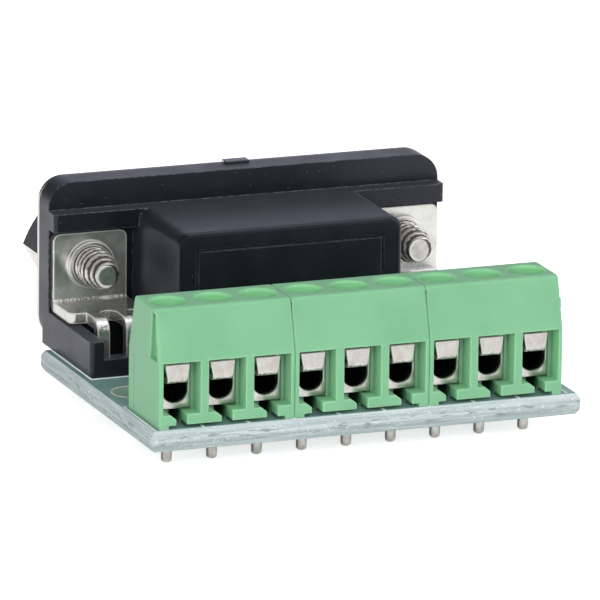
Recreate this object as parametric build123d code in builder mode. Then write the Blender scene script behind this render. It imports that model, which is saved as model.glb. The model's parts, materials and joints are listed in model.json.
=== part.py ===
from build123d import *
import os
from math import radians, tan

# A nine-way adapter from a right-angle D connector to three screw terminal blocks on one board.
# The origin is the centre of the connector's mating face. +X runs along the terminal row,
# +Y points out of the mating face and +Z is up. All lengths are in millimetres.

# Connector flange and mating skirt
screw_spacing = 25.0
flange_end = 3.1
flange_height = 12.5
flange_corner = 1.9
flange_thickness = 2.5
shell_sheet = 0.4
skirt_side = 1.81
skirt_rise = 1.73
skirt_length = 5.9
skirt_corner = 2.3
skirt_taper = 10.0
skirt_root = 0.5
skirt_rim = 0.24
grip_tab_width = 1.9
grip_tab_length = 0.9
grip_tab_sheet = 0.2

# Connector housing behind the flange
flange_lift = 0.05
ledge_depth = 3.85
ledge_top = 4.15
ledge_thickness = 1.4
ledge_round = 0.3
hood_gap = 0.7
hood_depth = 12.2
hood_corner = 0.9
hood_edge = 0.3
hood_wall = 1.0
hood_ceiling = 1.2
foot_setback = 0.2
foot_front = 1.2
foot_height = 2.7
foot_well_width = 4.1
foot_well_length = 5.4
foot_rear_wall = 0.45
foot_sill = 1.33
foot_corner = 0.35
panel_side = 1.45
panel_drop = 1.3
panel_foot = 2.2
panel_line = 0.2
panel_line_depth = 0.15
bracket_seat = 0.25

# Socket contacts
contact_pitch = 2.77
row_spacing = 2.84
socket_bore = 1.1
socket_outer = 1.6
socket_length = 5.0
socket_recess = 0.5
insulator_back = 0.3
insulator_round = 0.2
mouth_chamfer = 0.15
tail_diameter = 0.6
tail_bend = 0.8
tail_row_front = 7.9
tail_row_step = 2.54
tail_reach = 1.3
tail_wall = 3.2
spacer_thickness = 1.0
spacer_lift = 0.3

# Board
board_side = 4.0
board_depth = 23.7
board_thickness = 1.6
board_shift = 0.38
board_rear_gap = 0.85
board_corner = 0.35
score_depth = 0.32
score_web = 0.6
board_hole = 3.0
board_hole_inset = 2.3
board_hole_from_front = 10.6

# Terminal blocks
poles = 9
poles_per_block = 3
pitch = 3.5
block_depth = 6.6
block_height = 8.8
block_lean_front = 1.1
block_lean_rear = 1.25
block_straight_front = 4.95
block_straight_rear = 4.7
block_round = 0.35
window_width = 2.88
window_depth = 1.5
lip_height = 1.05
lip_chamfer = 0.42
lip_chamfer_drop = 0.34
foot_relief = 0.28
foot_relief_depth = 1.7
foot_pad = 0.75
block_side_round = 0.15
well_diameter = 2.6
well_funnel = 0.22
key_depth = 0.35
key_top_width = 0.6
key_foot_width = 1.6
key_top = 8.45
key_from_front = 1.35
key_proud = 0.18
key_shorter = 1.4
back_line_width = 0.28
back_line_depth = 0.14
back_line_inset = 1.0

# Contact block, wire guard and clamp screw of one pole
block_contact_width = 2.3
block_contact_depth = 3.7
block_contact_height = 3.75
block_contact_edge = 0.15
block_lift = 0.08
wire_way = 1.9
wire_way_floor = 0.45
wire_way_rise = 2.7
wire_way_mouth = 0.07
pin_diameter = 0.8
pin_from_front = 3.19
pin_reach = 1.76
pin_round = 0.3
guard_sheet = 0.25
guard_setback = 0.95
guard_head_gap = 0.4
guard_roof_gap = 0.5
guard_tongue = 3.8
guard_top_width = 1.88
guard_foot_width = 1.5
guard_bend = 0.42
screw_diameter = 1.8
screw_lead = 0.4
screw_turns = 2.5
screw_head_diameter = 2.35
screw_head_height = 1.2
screw_head_underside = 6.25
screw_slot = 0.4
screw_slot_depth = 0.55
screw_slot_angle = 25
screw_tip_chamfer = 0.2
screw_head_chamfer = 0.12

# Brackets with board locks
bracket_sheet = 0.8
bracket_width = 5.8
bracket_rise = 2.45
bracket_corner = 0.6
bracket_floor_height = 2.8
bracket_reach = 6.85
bracket_bend = 1.0
collar_diameter = 3.6
collar_height = 0.5
lock_from_face = 8.95
lock_hole = 3.4
prong_width = 0.95
prong_gap = 1.3
prong_bend = 1.1
prong_reach = 1.3
prong_barb = 0.14
barb_drop = 0.1
barb_height = 0.25
prong_crotch = 0.4

# Jackscrews
jack_diameter = 2.84
jack_shank = 7.0
jack_chamfer = 0.5
hex_flats = 4.75
hex_length = 4.6
hex_chamfer = 0.3
jack_bore = 2.4
jack_bore_depth = 4.2

# Fits
sliding_fit = 0.05
hole_clearance = 0.12
moulded_gap = 0.03
thread_clearance = 0.05
seat_gap = 0.09
key_gap = 0.12

# Places worked out from the sizes
board_top = -flange_height / 2 - flange_lift
board_bottom = board_top - board_thickness
board_rear = -flange_thickness - board_rear_gap
board_front = board_rear - board_depth
block_front = board_front
block_top = board_top + block_height
block_width = poles_per_block * pitch
pin_y = block_front + pin_from_front
pin_tip = board_bottom - pin_reach
plate_back = -flange_thickness
seat_y = plate_back + bracket_seat
bracket_back = seat_y - bracket_sheet
chamber_floor = board_top + lip_height
block_base = chamber_floor + block_lift
chamber_top = block_base + block_contact_height + sliding_fit
way_roof = block_base + wire_way_rise
guard_foot = way_roof - guard_roof_gap - guard_sheet
guard_top = chamber_top - guard_head_gap
lip_slot = pin_diameter + 2 * moulded_gap
fork_width = 2 * prong_width + prong_gap
screw_radius = screw_diameter / 2
guard_travel = screw_turns * screw_lead
pole_places = [(index - (poles - 1) / 2) * pitch for index in range(poles)]
jack_places = [-screw_spacing / 2, screw_spacing / 2]
upper_row = [(index - 2) * contact_pitch for index in range(5)]
lower_row = [(index - 1.5) * contact_pitch for index in range(4)]
flange_width = screw_spacing + 2 * flange_end
hood_width = screw_spacing - bracket_width - 2 * hood_gap
foot_depth = hood_depth - foot_setback
skirt_width = 4 * contact_pitch + socket_outer + 2 * skirt_side
skirt_height = row_spacing + socket_outer + 2 * skirt_rise
panel_width = hood_width - 2 * panel_side
board_width = screw_spacing + 2 * board_side
hole_inset = board_width / 2 - board_hole_inset
board_hole_places = [board_shift - hole_inset, board_shift + hole_inset]
board_hole_y = board_front + board_hole_from_front


def facing(y):
    """A plane at y that looks towards the terminal row, with local x along X and local y up."""
    return Plane.XZ.offset(-y)


def mating(y):
    """A plane at y that looks out of the mating face, with local x along -X and local y up."""
    return Plane((0, y, 0), x_dir=(-1, 0, 0), z_dir=(0, 1, 0))


def skirt_corners(inset):
    """Corners of the mating skirt's D outline, wide side up, moved in by inset."""
    wide = skirt_width / 2 - inset
    high = skirt_height / 2 - inset
    narrow = wide - 2 * high * tan(radians(skirt_taper))
    return [(-wide, high), (wide, high), (narrow, -high), (-narrow, -high)]


def scored_section(middle, width):
    """Section of the board across one way: flat faces of this width, and a snapped web that stands out."""
    low = middle - width / 2
    high = middle + width / 2
    web_low = (board_top + board_bottom - score_web) / 2
    web_high = web_low + score_web
    return [
        (low, board_bottom),
        (high, board_bottom),
        (high + score_depth, web_low),
        (high + score_depth, web_high),
        (high, board_top),
        (low, board_top),
        (low - score_depth, web_high),
        (low - score_depth, web_low),
    ]


# Circuit board
tail_places = [(x, -tail_row_front - tail_row_step) for x in upper_row]
tail_places += [(x, -tail_row_front) for x in lower_row]

with BuildPart() as circuit_board:
    # the scored and snapped edges: one section run from front to rear, the other from side to side
    with BuildSketch(facing(board_front - score_depth)):
        with BuildLine():
            Polyline(*scored_section(board_shift, board_width), close=True)
        make_face()
    extrude(amount=-board_depth - 2 * score_depth)
    with BuildSketch(Plane.YZ.offset(board_shift)):
        with BuildLine():
            Polyline(*scored_section(board_front + board_depth / 2, board_depth), close=True)
        make_face()
    extrude(amount=board_width / 2 + score_depth, both=True, mode=Mode.INTERSECT)
    with BuildSketch(Plane.XY.offset(board_bottom)):
        with Locations((board_shift, board_front + board_depth / 2)):
            RectangleRounded(board_width + 2 * score_depth, board_depth + 2 * score_depth, board_corner)
    extrude(amount=board_thickness, mode=Mode.INTERSECT)
    with Locations(Plane.XY.offset(board_top)):
        with Locations(*[(x, pin_y) for x in pole_places]):
            Hole(pin_diameter / 2 + hole_clearance)
        with Locations(*tail_places):
            Hole(tail_diameter / 2 + hole_clearance)
        with Locations(*[(x, -lock_from_face) for x in jack_places]):
            Hole(lock_hole / 2)
        with Locations(*[(x, board_hole_y) for x in board_hole_places]):
            Hole(board_hole / 2)


# Terminal housings
def terminal_housing(left):
    """One three-pole housing whose left side is at x = left."""
    rear = block_front + block_depth
    centres = [left + (index + 0.5) * pitch for index in range(poles_per_block)]
    top_front = block_front + block_lean_front
    with BuildPart() as housing:
        with BuildSketch(Plane.YZ.offset(left)):
            with BuildLine():
                Polyline(
                    (block_front, board_top),
                    (block_front, board_top + block_straight_front),
                    (top_front, block_top),
                    (rear - block_lean_rear, block_top),
                    (rear, board_top + block_straight_rear),
                    (rear, board_top),
                    close=True,
                )
            make_face()
        extrude(amount=block_width)
        fillet(housing.edges().filter_by(Axis.X).group_by(Axis.Z)[-1], block_round)
        # soft edges round both side faces, but for those that lie on the board
        side_edges = housing.faces().filter_by(Axis.X).edges().group_by(Axis.Z)
        fillet([edge for level in side_edges[1:] for edge in level], block_side_round)
        # rib on the right side, which plugs the next housing's key groove
        groove_base = board_top + block_straight_front
        rib_y = block_front + key_from_front
        key_taper = (key_foot_width - key_top_width) / 2 / (key_top - block_straight_front)
        rib_foot = key_foot_width / 2 - key_taper * key_shorter - key_gap
        rib_head = key_top_width / 2 + key_taper * key_shorter - key_gap
        with BuildSketch(Plane.YZ.offset(left + block_width)):
            with BuildLine():
                Polyline(
                    (rib_y - rib_foot, groove_base + key_shorter),
                    (rib_y + rib_foot, groove_base + key_shorter),
                    (rib_y + rib_head, board_top + key_top - key_shorter),
                    (rib_y - rib_head, board_top + key_top - key_shorter),
                    close=True,
                )
            make_face()
        extrude(amount=key_proud)
        # windows, and the chambers behind them
        with BuildSketch(facing(block_front)):
            with Locations(*[(x, (chamber_floor + chamber_top) / 2) for x in centres]):
                Rectangle(window_width, chamber_top - chamber_floor)
        extrude(amount=-window_depth, mode=Mode.SUBTRACT)
        chamber_width = block_contact_width + 2 * sliding_fit
        chamber_depth = window_depth + block_contact_depth + sliding_fit
        with BuildSketch(facing(block_front)):
            with Locations(*[(x, (chamber_floor + chamber_top) / 2) for x in centres]):
                Rectangle(chamber_width, chamber_top - chamber_floor)
        extrude(amount=-chamber_depth, mode=Mode.SUBTRACT)
        # slot that lets the solder pin slide in from the front
        with BuildSketch(Plane.XY.offset(board_top)):
            with Locations(*[(x, block_front + pin_from_front / 2) for x in centres]):
                Rectangle(lip_slot, pin_from_front)
            with Locations(*[(x, pin_y) for x in centres]):
                Circle(lip_slot / 2)
        extrude(amount=lip_height, mode=Mode.SUBTRACT)
        # bevelled corner beside the slot, and the relief under the lips
        with BuildSketch(facing(block_front)):
            for x in centres:
                with BuildLine():
                    Polyline(
                        (x - lip_slot / 2 - lip_chamfer, chamber_floor),
                        (x - lip_slot / 2, chamber_floor),
                        (x - lip_slot / 2, chamber_floor - lip_chamfer_drop),
                        close=True,
                    )
                make_face()
            with Locations((left + block_width / 2, board_top + foot_relief / 2)):
                Rectangle(block_width - 2 * foot_pad, foot_relief)
        extrude(amount=-foot_relief_depth, mode=Mode.SUBTRACT)
        # screw wells with soft funnels
        with BuildSketch(Plane.XY.offset(block_top)):
            with Locations(*[(x, pin_y) for x in centres]):
                Circle(well_diameter / 2)
        extrude(amount=-(block_top - chamber_top + sliding_fit), mode=Mode.SUBTRACT)
        fillet(housing.edges().filter_by(GeomType.CIRCLE).group_by(Axis.Z)[-1], well_funnel)
        # key groove and back line on the left side
        with BuildSketch(Plane.YZ.offset(left)):
            with BuildLine():
                Polyline(
                    (rib_y - key_foot_width / 2, groove_base),
                    (rib_y + key_foot_width / 2, groove_base),
                    (rib_y + key_top_width / 2, board_top + key_top),
                    (rib_y - key_top_width / 2, board_top + key_top),
                    close=True,
                )
            make_face()
        extrude(amount=key_depth, mode=Mode.SUBTRACT)
        with BuildSketch(Plane.YZ.offset(left)):
            with Locations((rear - back_line_inset, board_top + block_straight_rear / 2)):
                Rectangle(back_line_width, block_straight_rear)
        extrude(amount=back_line_depth, mode=Mode.SUBTRACT)
    return housing.part


terminal_housings = []
for number in range(poles // poles_per_block):
    terminal_housings.append(terminal_housing(-poles * pitch / 2 + number * block_width))


# Contact blocks with their solder pins
def contact_block(x):
    """The plated block of the pole at x: U-shaped wire way, tapped roof and round pin."""
    front = block_front + window_depth
    way_centre = block_base + wire_way_floor + wire_way / 2
    bore_end = guard_foot + guard_sheet - guard_travel - sliding_fit
    with BuildPart() as block:
        with BuildSketch(facing(front)):
            with Locations((x, block_base + block_contact_height / 2)):
                Rectangle(block_contact_width, block_contact_height)
            with Locations((x, way_centre)):
                Circle(wire_way / 2, mode=Mode.SUBTRACT)
            with Locations((x, (way_centre + way_roof) / 2)):
                Rectangle(wire_way, way_roof - way_centre, mode=Mode.SUBTRACT)
        extrude(amount=-block_contact_depth)
        long_edges = block.edges().filter_by(Axis.Y).group_by(Axis.X)
        fillet(long_edges[0] + long_edges[-1], block_contact_edge)
        mouth = block.faces().filter_by(Axis.Y).sort_by(Axis.Y)[0].inner_wires()[0]
        chamfer(mouth.edges(), wire_way_mouth)
        with BuildSketch(Plane.XY.offset(block_base + block_contact_height)):
            with Locations((x, pin_y)):
                Circle(screw_radius + thread_clearance)
        extrude(amount=bore_end - block_base - block_contact_height, mode=Mode.SUBTRACT)
        with BuildSketch(Plane.XY.offset(block_base)):
            with Locations((x, pin_y)):
                Circle(pin_diameter / 2)
        extrude(amount=pin_tip - block_base)
        tip = block.edges().filter_by(GeomType.CIRCLE).group_by(Axis.Z)[0]
        fillet(tip, pin_round)
    return block.part


contact_blocks = [contact_block(x) for x in pole_places]


# Wire guards
def wire_guard(x):
    """A bent leaf: a tapered flag before the wire way, and a tongue under the screw."""
    front = block_front + guard_setback
    with BuildPart() as guard:
        with BuildSketch(Plane.YZ.offset(x)) as side:
            with BuildLine():
                Polyline(
                    (front, guard_top),
                    (front, guard_foot),
                    (front + guard_tongue, guard_foot),
                    (front + guard_tongue, guard_foot + guard_sheet),
                    (front + guard_sheet, guard_foot + guard_sheet),
                    (front + guard_sheet, guard_top),
                    close=True,
                )
            make_face()
            outer_corner = side.vertices().sort_by_distance((front, guard_foot))[0]
            fillet(outer_corner, guard_bend)
            inner_point = (front + guard_sheet, guard_foot + guard_sheet)
            inner_corner = side.vertices().sort_by_distance(inner_point)[0]
            fillet(inner_corner, guard_bend - guard_sheet)
        extrude(amount=guard_top_width / 2, both=True)
        with BuildSketch(facing(block_front)):
            with BuildLine():
                Polyline(
                    (x - guard_top_width / 2, guard_top),
                    (x + guard_top_width / 2, guard_top),
                    (x + guard_foot_width / 2, guard_foot + guard_sheet),
                    (x + guard_foot_width / 2, guard_foot),
                    (x - guard_foot_width / 2, guard_foot),
                    (x - guard_foot_width / 2, guard_foot + guard_sheet),
                    close=True,
                )
            make_face()
        extrude(amount=-block_depth, mode=Mode.INTERSECT)
    return guard.part


wire_guards = [wire_guard(x) for x in pole_places]


# Clamp screws
def clamp_screw(x):
    """A slotted cheese-head screw whose tip bears on the wire guard's tongue."""
    tip = guard_foot + guard_sheet
    underside = board_top + screw_head_underside
    with BuildPart() as screw:
        with BuildSketch(Plane.XY.offset(tip)):
            with Locations((x, pin_y)):
                Circle(screw_radius)
        extrude(amount=underside - tip)
        chamfer(screw.edges().group_by(Axis.Z)[0], screw_tip_chamfer)
        with BuildSketch(Plane.XY.offset(underside)):
            with Locations((x, pin_y)):
                Circle(screw_head_diameter / 2)
        extrude(amount=screw_head_height)
        chamfer(screw.edges().group_by(Axis.Z)[-1], screw_head_chamfer)
        with BuildSketch(Plane.XY.offset(underside + screw_head_height)):
            with Locations((x, pin_y)):
                Rectangle(screw_head_diameter + screw_slot, screw_slot, rotation=screw_slot_angle)
        extrude(amount=-screw_slot_depth, mode=Mode.SUBTRACT)
    return screw.part


clamp_screws = [clamp_screw(x) for x in pole_places]

# Front shell
with BuildPart() as front_shell:
    with BuildSketch(Plane.XZ):
        RectangleRounded(flange_width, flange_height, flange_corner)
    extrude(amount=shell_sheet)
    with BuildSketch(mating(0)) as skirt_profile:
        with BuildLine():
            Polyline(*skirt_corners(0), close=True)
        make_face()
        fillet(skirt_profile.vertices(), skirt_corner)
    extrude(amount=skirt_length)
    flange_face = front_shell.faces().filter_by(Axis.Y).sort_by(Axis.Y)[1]
    fillet(flange_face.inner_wires()[0].edges(), skirt_root)
    skirt_end = front_shell.edges().group_by(Axis.Y)[-1]
    fillet(skirt_end, skirt_rim)
    with BuildSketch(mating(-shell_sheet)) as skirt_hollow:
        with BuildLine():
            Polyline(*skirt_corners(shell_sheet), close=True)
        make_face()
        fillet(skirt_hollow.vertices(), skirt_corner - shell_sheet)
    extrude(amount=shell_sheet + skirt_length, mode=Mode.SUBTRACT)
    with BuildSketch(Plane.XZ):
        with Locations(*[(x, 0) for x in jack_places]):
            Circle(jack_diameter / 2 + hole_clearance)
    extrude(amount=shell_sheet, mode=Mode.SUBTRACT)
    # small tab of the sheet, folded back over the housing's top edge
    with BuildSketch(Plane.XZ):
        with Locations((0, flange_height / 2 + grip_tab_sheet / 2)):
            Rectangle(grip_tab_width, grip_tab_sheet)
    extrude(amount=grip_tab_length)

# Socket insulator
with BuildPart() as socket_insulator:
    with BuildSketch(mating(-shell_sheet)) as insulator_profile:
        with BuildLine():
            Polyline(*skirt_corners(shell_sheet + moulded_gap), close=True)
        make_face()
        fillet(insulator_profile.vertices(), skirt_corner - shell_sheet - moulded_gap)
    extrude(amount=shell_sheet + skirt_length - insulator_back)
    face_y = skirt_length - insulator_back
    face_edges = socket_insulator.edges().group_by(Axis.Y)[-1]
    fillet(face_edges, insulator_round)
    socket_places = [(-x, row_spacing / 2) for x in upper_row]
    socket_places += [(-x, -row_spacing / 2) for x in lower_row]
    with BuildSketch(mating(-shell_sheet)):
        with Locations(*socket_places):
            Circle(socket_outer / 2 + moulded_gap)
    extrude(amount=shell_sheet + face_y - socket_recess, mode=Mode.SUBTRACT)
    with BuildSketch(mating(face_y)):
        with Locations(*socket_places):
            Circle(socket_bore / 2 + hole_clearance)
    extrude(amount=-face_y, mode=Mode.SUBTRACT)
    mouths = socket_insulator.edges().filter_by(GeomType.CIRCLE).group_by(Axis.Y)[-1]
    chamfer(mouths, mouth_chamfer)

# Connector housing
hood_rear = -hood_depth
foot_rear = -foot_depth
foot_width = (flange_width - hood_width) / 2

with BuildPart() as connector_housing:
    with BuildSketch(facing(-shell_sheet)):
        RectangleRounded(flange_width, flange_height, flange_corner)
    extrude(amount=flange_thickness - shell_sheet)
    # ledge that stiffens the flange above the brackets
    with BuildSketch(facing(plate_back)):
        with Locations((0, ledge_top - ledge_thickness / 2)):
            Rectangle(flange_width, ledge_thickness)
    extrude(amount=ledge_depth - flange_thickness)
    ledge_ends = connector_housing.edges().filter_by(Axis.Z).group_by(Axis.Y)[0]
    fillet(ledge_ends, ledge_round)
    # feet on the board
    for side in (-1, 1):
        with BuildSketch(Plane.XY.offset(board_top)):
            with Locations((side * (flange_width - foot_width) / 2, -(foot_front + foot_depth) / 2)):
                Rectangle(foot_width, foot_depth - foot_front)
        extrude(amount=foot_height)
    outer_feet = connector_housing.edges().filter_by(Axis.Z).group_by(Axis.Y)[0]
    fillet(outer_feet, foot_corner)
    # hood over the bent tails
    with BuildSketch(facing(plate_back)) as hood_profile:
        with Locations((0, (ledge_top + board_top) / 2)):
            Rectangle(hood_width, ledge_top - board_top)
        fillet(hood_profile.vertices().group_by(Axis.Y)[-1], hood_corner)
    extrude(amount=hood_depth - flange_thickness)
    hood_back = connector_housing.faces().filter_by(Axis.Y).sort_by(Axis.Y)[0]
    hood_rim = hood_back.edges().filter_by(Axis.Z)
    fillet(hood_rim, hood_edge)
    # cavity for the tails, open to the board
    cavity_front = plate_back - tail_wall
    cavity_rear = hood_rear + hood_wall
    cavity_width = hood_width - 2 * hood_wall
    with BuildSketch(Plane.XY.offset(board_top)):
        with Locations((0, (cavity_front + cavity_rear) / 2)):
            Rectangle(cavity_width, cavity_front - cavity_rear)
    extrude(amount=ledge_top - hood_ceiling - board_top, mode=Mode.SUBTRACT)
    # wells in the feet, open to the board, with a low sill behind
    for x in jack_places:
        with BuildSketch(Plane.XY.offset(board_top)):
            with Locations((x, foot_rear + foot_rear_wall + foot_well_length / 2)):
                Rectangle(foot_well_width, foot_well_length)
        extrude(amount=foot_height, mode=Mode.SUBTRACT)
        with BuildSketch(Plane.XY.offset(board_top + foot_sill)):
            with Locations((x, foot_rear + foot_rear_wall / 2)):
                Rectangle(foot_well_width, foot_rear_wall)
        extrude(amount=foot_height, mode=Mode.SUBTRACT)
        # seat for the bracket and hole for the jackscrew
        with BuildSketch(facing(plate_back)):
            seat_high = bracket_rise + seat_gap
            seat_low = board_top + foot_height
            with Locations((x, (seat_high + seat_low) / 2)):
                Rectangle(bracket_width + 2 * seat_gap, seat_high - seat_low)
        extrude(amount=-bracket_seat, mode=Mode.SUBTRACT)
        with BuildSketch(facing(0)):
            with Locations((x, 0)):
                Circle(jack_diameter / 2 + hole_clearance)
        extrude(amount=flange_thickness, mode=Mode.SUBTRACT)
    # passages for the contact stems
    with BuildSketch(facing(0)):
        with Locations(*[(x, row_spacing / 2) for x in upper_row]):
            Circle(tail_diameter / 2 + moulded_gap)
        with Locations(*[(x, -row_spacing / 2) for x in lower_row]):
            Circle(tail_diameter / 2 + moulded_gap)
    extrude(amount=-cavity_front, mode=Mode.SUBTRACT)
    # outline of the panel on the rear of the hood
    panel_high = ledge_top - panel_drop
    panel_low = board_top + panel_foot
    with BuildSketch(facing(hood_rear)):
        with Locations((0, (panel_high + panel_low) / 2)):
            Rectangle(panel_width, panel_high - panel_low)
            Rectangle(
                panel_width - 2 * panel_line,
                panel_high - panel_low - 2 * panel_line,
                mode=Mode.SUBTRACT,
            )
    extrude(amount=-panel_line_depth, mode=Mode.SUBTRACT)

# Tail spacer
with BuildPart() as tail_spacer:
    with BuildSketch(Plane.XY.offset(board_top + spacer_lift)):
        with Locations((0, (cavity_front + cavity_rear) / 2)):
            Rectangle(cavity_width - 2 * moulded_gap, cavity_front - cavity_rear - 2 * moulded_gap)
        with Locations(*tail_places):
            Circle(tail_diameter / 2 + moulded_gap, mode=Mode.SUBTRACT)
    extrude(amount=spacer_thickness)


# Socket contacts
def socket_contact(x, height, row_y):
    """A machined socket and its stem, bent down through the board."""
    mouth = skirt_length - insulator_back - socket_recess
    back = -shell_sheet
    with BuildPart() as contact:
        with BuildLine() as route:
            FilletPolyline(
                (x, back, height),
                (x, row_y, height),
                (x, row_y, board_bottom - tail_reach),
                radius=tail_bend,
            )
        with BuildSketch(Plane((x, back, height), x_dir=(1, 0, 0), z_dir=(0, -1, 0))):
            Circle(tail_diameter / 2)
        sweep(path=route.line)
        with BuildSketch(Plane((x, back, height), x_dir=(1, 0, 0), z_dir=(0, 1, 0))):
            Circle(socket_outer / 2)
        extrude(amount=mouth - back)
        with BuildSketch(Plane((x, mouth, height), x_dir=(1, 0, 0), z_dir=(0, 1, 0))):
            Circle(socket_bore / 2)
        extrude(amount=-socket_length, mode=Mode.SUBTRACT)
    return contact.part


socket_contacts = []
for x in reversed(upper_row):
    socket_contacts.append(socket_contact(x, row_spacing / 2, -tail_row_front - tail_row_step))
for x in reversed(lower_row):
    socket_contacts.append(socket_contact(x, -row_spacing / 2, -tail_row_front))


# Brackets with board locks
def board_lock(x):
    """An L bracket: tapped plate behind the flange, floor, and two prongs through the board."""
    floor_low = board_top + bracket_floor_height
    floor_high = floor_low + bracket_sheet
    prong_rear = -lock_from_face - bracket_sheet / 2
    prong_front = prong_rear + bracket_sheet
    prong_tip = board_bottom - prong_reach
    gap_head = -bracket_reach - prong_crotch
    with BuildPart() as bracket:
        with BuildSketch(Plane.YZ.offset(x)) as side:
            with BuildLine():
                Polyline(
                    (seat_y, floor_low),
                    (seat_y, bracket_rise),
                    (bracket_back, bracket_rise),
                    (bracket_back, floor_high),
                    (-bracket_reach, floor_high),
                    (-bracket_reach, floor_low),
                    close=True,
                )
            make_face()
            fillet(side.vertices().sort_by_distance((seat_y, floor_low))[0], bracket_bend)
            inner_bend = side.vertices().sort_by_distance((bracket_back, floor_high))[0]
            fillet(inner_bend, bracket_bend - bracket_sheet)
        extrude(amount=bracket_width / 2, both=True)
        upper_corners = bracket.edges().filter_by(Axis.Y).group_by(Axis.Z)[-1]
        fillet(upper_corners, bracket_corner)
        rear_corners = bracket.edges().filter_by(Axis.Z).group_by(Axis.Y)[0]
        fillet(rear_corners, bracket_corner)
        # the fork runs on from the floor and turns down
        with BuildSketch(Plane.YZ.offset(x)) as fork:
            with BuildLine():
                Polyline(
                    (bracket_back - bracket_bend, floor_high),
                    (prong_rear, floor_high),
                    (prong_rear, prong_tip),
                    (prong_front, prong_tip),
                    (prong_front, floor_low),
                    (bracket_back - bracket_bend, floor_low),
                    close=True,
                )
            make_face()
            fillet(fork.vertices().sort_by_distance((prong_rear, floor_high))[0], prong_bend)
            inner_bend = fork.vertices().sort_by_distance((prong_front, floor_low))[0]
            fillet(inner_bend, prong_bend - bracket_sheet)
        extrude(amount=fork_width / 2, both=True)
        # barbs that grip below the board
        with BuildSketch(facing(prong_rear)):
            for side_sign in (-1, 1):
                with BuildLine():
                    edge = x + side_sign * fork_width / 2
                    barb = x + side_sign * (fork_width / 2 + prong_barb)
                    Polyline(
                        (edge, board_bottom - barb_drop),
                        (barb, board_bottom - barb_drop - barb_height),
                        (edge, prong_tip),
                        close=True,
                    )
                make_face()
        extrude(amount=-bracket_sheet)
        # gap between the prongs, with a round head
        with BuildSketch(Plane.XY.offset(floor_high)):
            with Locations((x, (gap_head + prong_rear) / 2)):
                Rectangle(prong_gap, gap_head - prong_rear)
            with Locations((x, gap_head)):
                Circle(prong_gap / 2)
        extrude(amount=prong_tip - floor_high, mode=Mode.SUBTRACT)
        # collar and its tapped hole
        with BuildSketch(facing(bracket_back)):
            with Locations((x, 0)):
                Circle(collar_diameter / 2)
        extrude(amount=collar_height)
        with BuildSketch(facing(seat_y)):
            with Locations((x, 0)):
                Circle(jack_diameter / 2 + thread_clearance)
        extrude(amount=bracket_sheet + collar_height, mode=Mode.SUBTRACT)
    return bracket.part


board_locks = [board_lock(x) for x in jack_places]


# Jackscrews
def jackscrew(x):
    """A hex standoff with a tapped nose and a threaded shank that runs through the bracket."""
    with BuildPart() as screw:
        with BuildSketch(mating(0)):
            with Locations((-x, 0)):
                RegularPolygon(hex_flats / 2, 6, major_radius=False)
        extrude(amount=hex_length)
        chamfer(screw.edges().group_by(Axis.Y)[-1], hex_chamfer)
        with BuildSketch(facing(0)):
            with Locations((x, 0)):
                Circle(jack_diameter / 2)
        extrude(amount=jack_shank)
        chamfer(screw.edges().group_by(Axis.Y)[0], jack_chamfer)
        with BuildSketch(mating(hex_length)):
            with Locations((-x, 0)):
                Circle(jack_bore / 2)
        extrude(amount=-jack_bore_depth, mode=Mode.SUBTRACT)
    return screw.part


jackscrews = [jackscrew(x) for x in jack_places]

# Files
pieces = {
    "circuit_board": circuit_board.part,
    "front_shell": front_shell.part,
    "socket_insulator": socket_insulator.part,
    "connector_housing": connector_housing.part,
    "tail_spacer": tail_spacer.part,
    "board_lock_left": board_locks[0],
    "board_lock_right": board_locks[1],
    "jackscrew_left": jackscrews[0],
    "jackscrew_right": jackscrews[1],
}
for number, housing in enumerate(terminal_housings, start=1):
    pieces[f"terminal_housing_{number}"] = housing
for number in range(poles):
    pieces[f"contact_block_{number + 1}"] = contact_blocks[number]
    pieces[f"wire_guard_{number + 1}"] = wire_guards[number]
    pieces[f"clamp_screw_{number + 1}"] = clamp_screws[number]
for number, contact in enumerate(socket_contacts, start=1):
    pieces[f"socket_contact_{number}"] = contact

os.makedirs("parts", exist_ok=True)
for name, piece in pieces.items():
    piece.label = name
    export_step(piece, f"parts/{name}.step")
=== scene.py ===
import json
from math import cos, pi, radians, sin, tau

import bmesh
import bpy
from mathutils import Matrix, Vector


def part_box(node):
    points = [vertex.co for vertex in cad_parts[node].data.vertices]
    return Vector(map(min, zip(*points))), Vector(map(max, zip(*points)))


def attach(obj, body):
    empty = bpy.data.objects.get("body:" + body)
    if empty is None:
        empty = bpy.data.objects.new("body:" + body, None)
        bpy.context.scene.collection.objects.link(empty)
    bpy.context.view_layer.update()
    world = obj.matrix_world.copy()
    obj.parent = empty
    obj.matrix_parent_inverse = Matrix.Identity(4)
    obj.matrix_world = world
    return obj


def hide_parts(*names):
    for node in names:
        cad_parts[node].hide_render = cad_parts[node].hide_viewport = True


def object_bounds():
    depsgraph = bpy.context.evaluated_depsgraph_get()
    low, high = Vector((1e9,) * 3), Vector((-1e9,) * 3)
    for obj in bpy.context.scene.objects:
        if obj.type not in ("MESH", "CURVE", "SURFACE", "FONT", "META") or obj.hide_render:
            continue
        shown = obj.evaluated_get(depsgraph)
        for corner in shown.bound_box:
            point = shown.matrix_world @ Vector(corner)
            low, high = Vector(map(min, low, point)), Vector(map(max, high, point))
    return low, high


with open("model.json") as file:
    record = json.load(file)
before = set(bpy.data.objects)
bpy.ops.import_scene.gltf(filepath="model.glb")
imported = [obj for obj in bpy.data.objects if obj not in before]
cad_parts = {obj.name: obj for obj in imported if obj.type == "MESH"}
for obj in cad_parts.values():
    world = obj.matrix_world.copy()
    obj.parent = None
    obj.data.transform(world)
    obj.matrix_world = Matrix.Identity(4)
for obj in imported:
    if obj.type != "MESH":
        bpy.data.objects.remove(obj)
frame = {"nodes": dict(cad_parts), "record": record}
cad_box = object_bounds()

MM = 0.001

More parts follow.
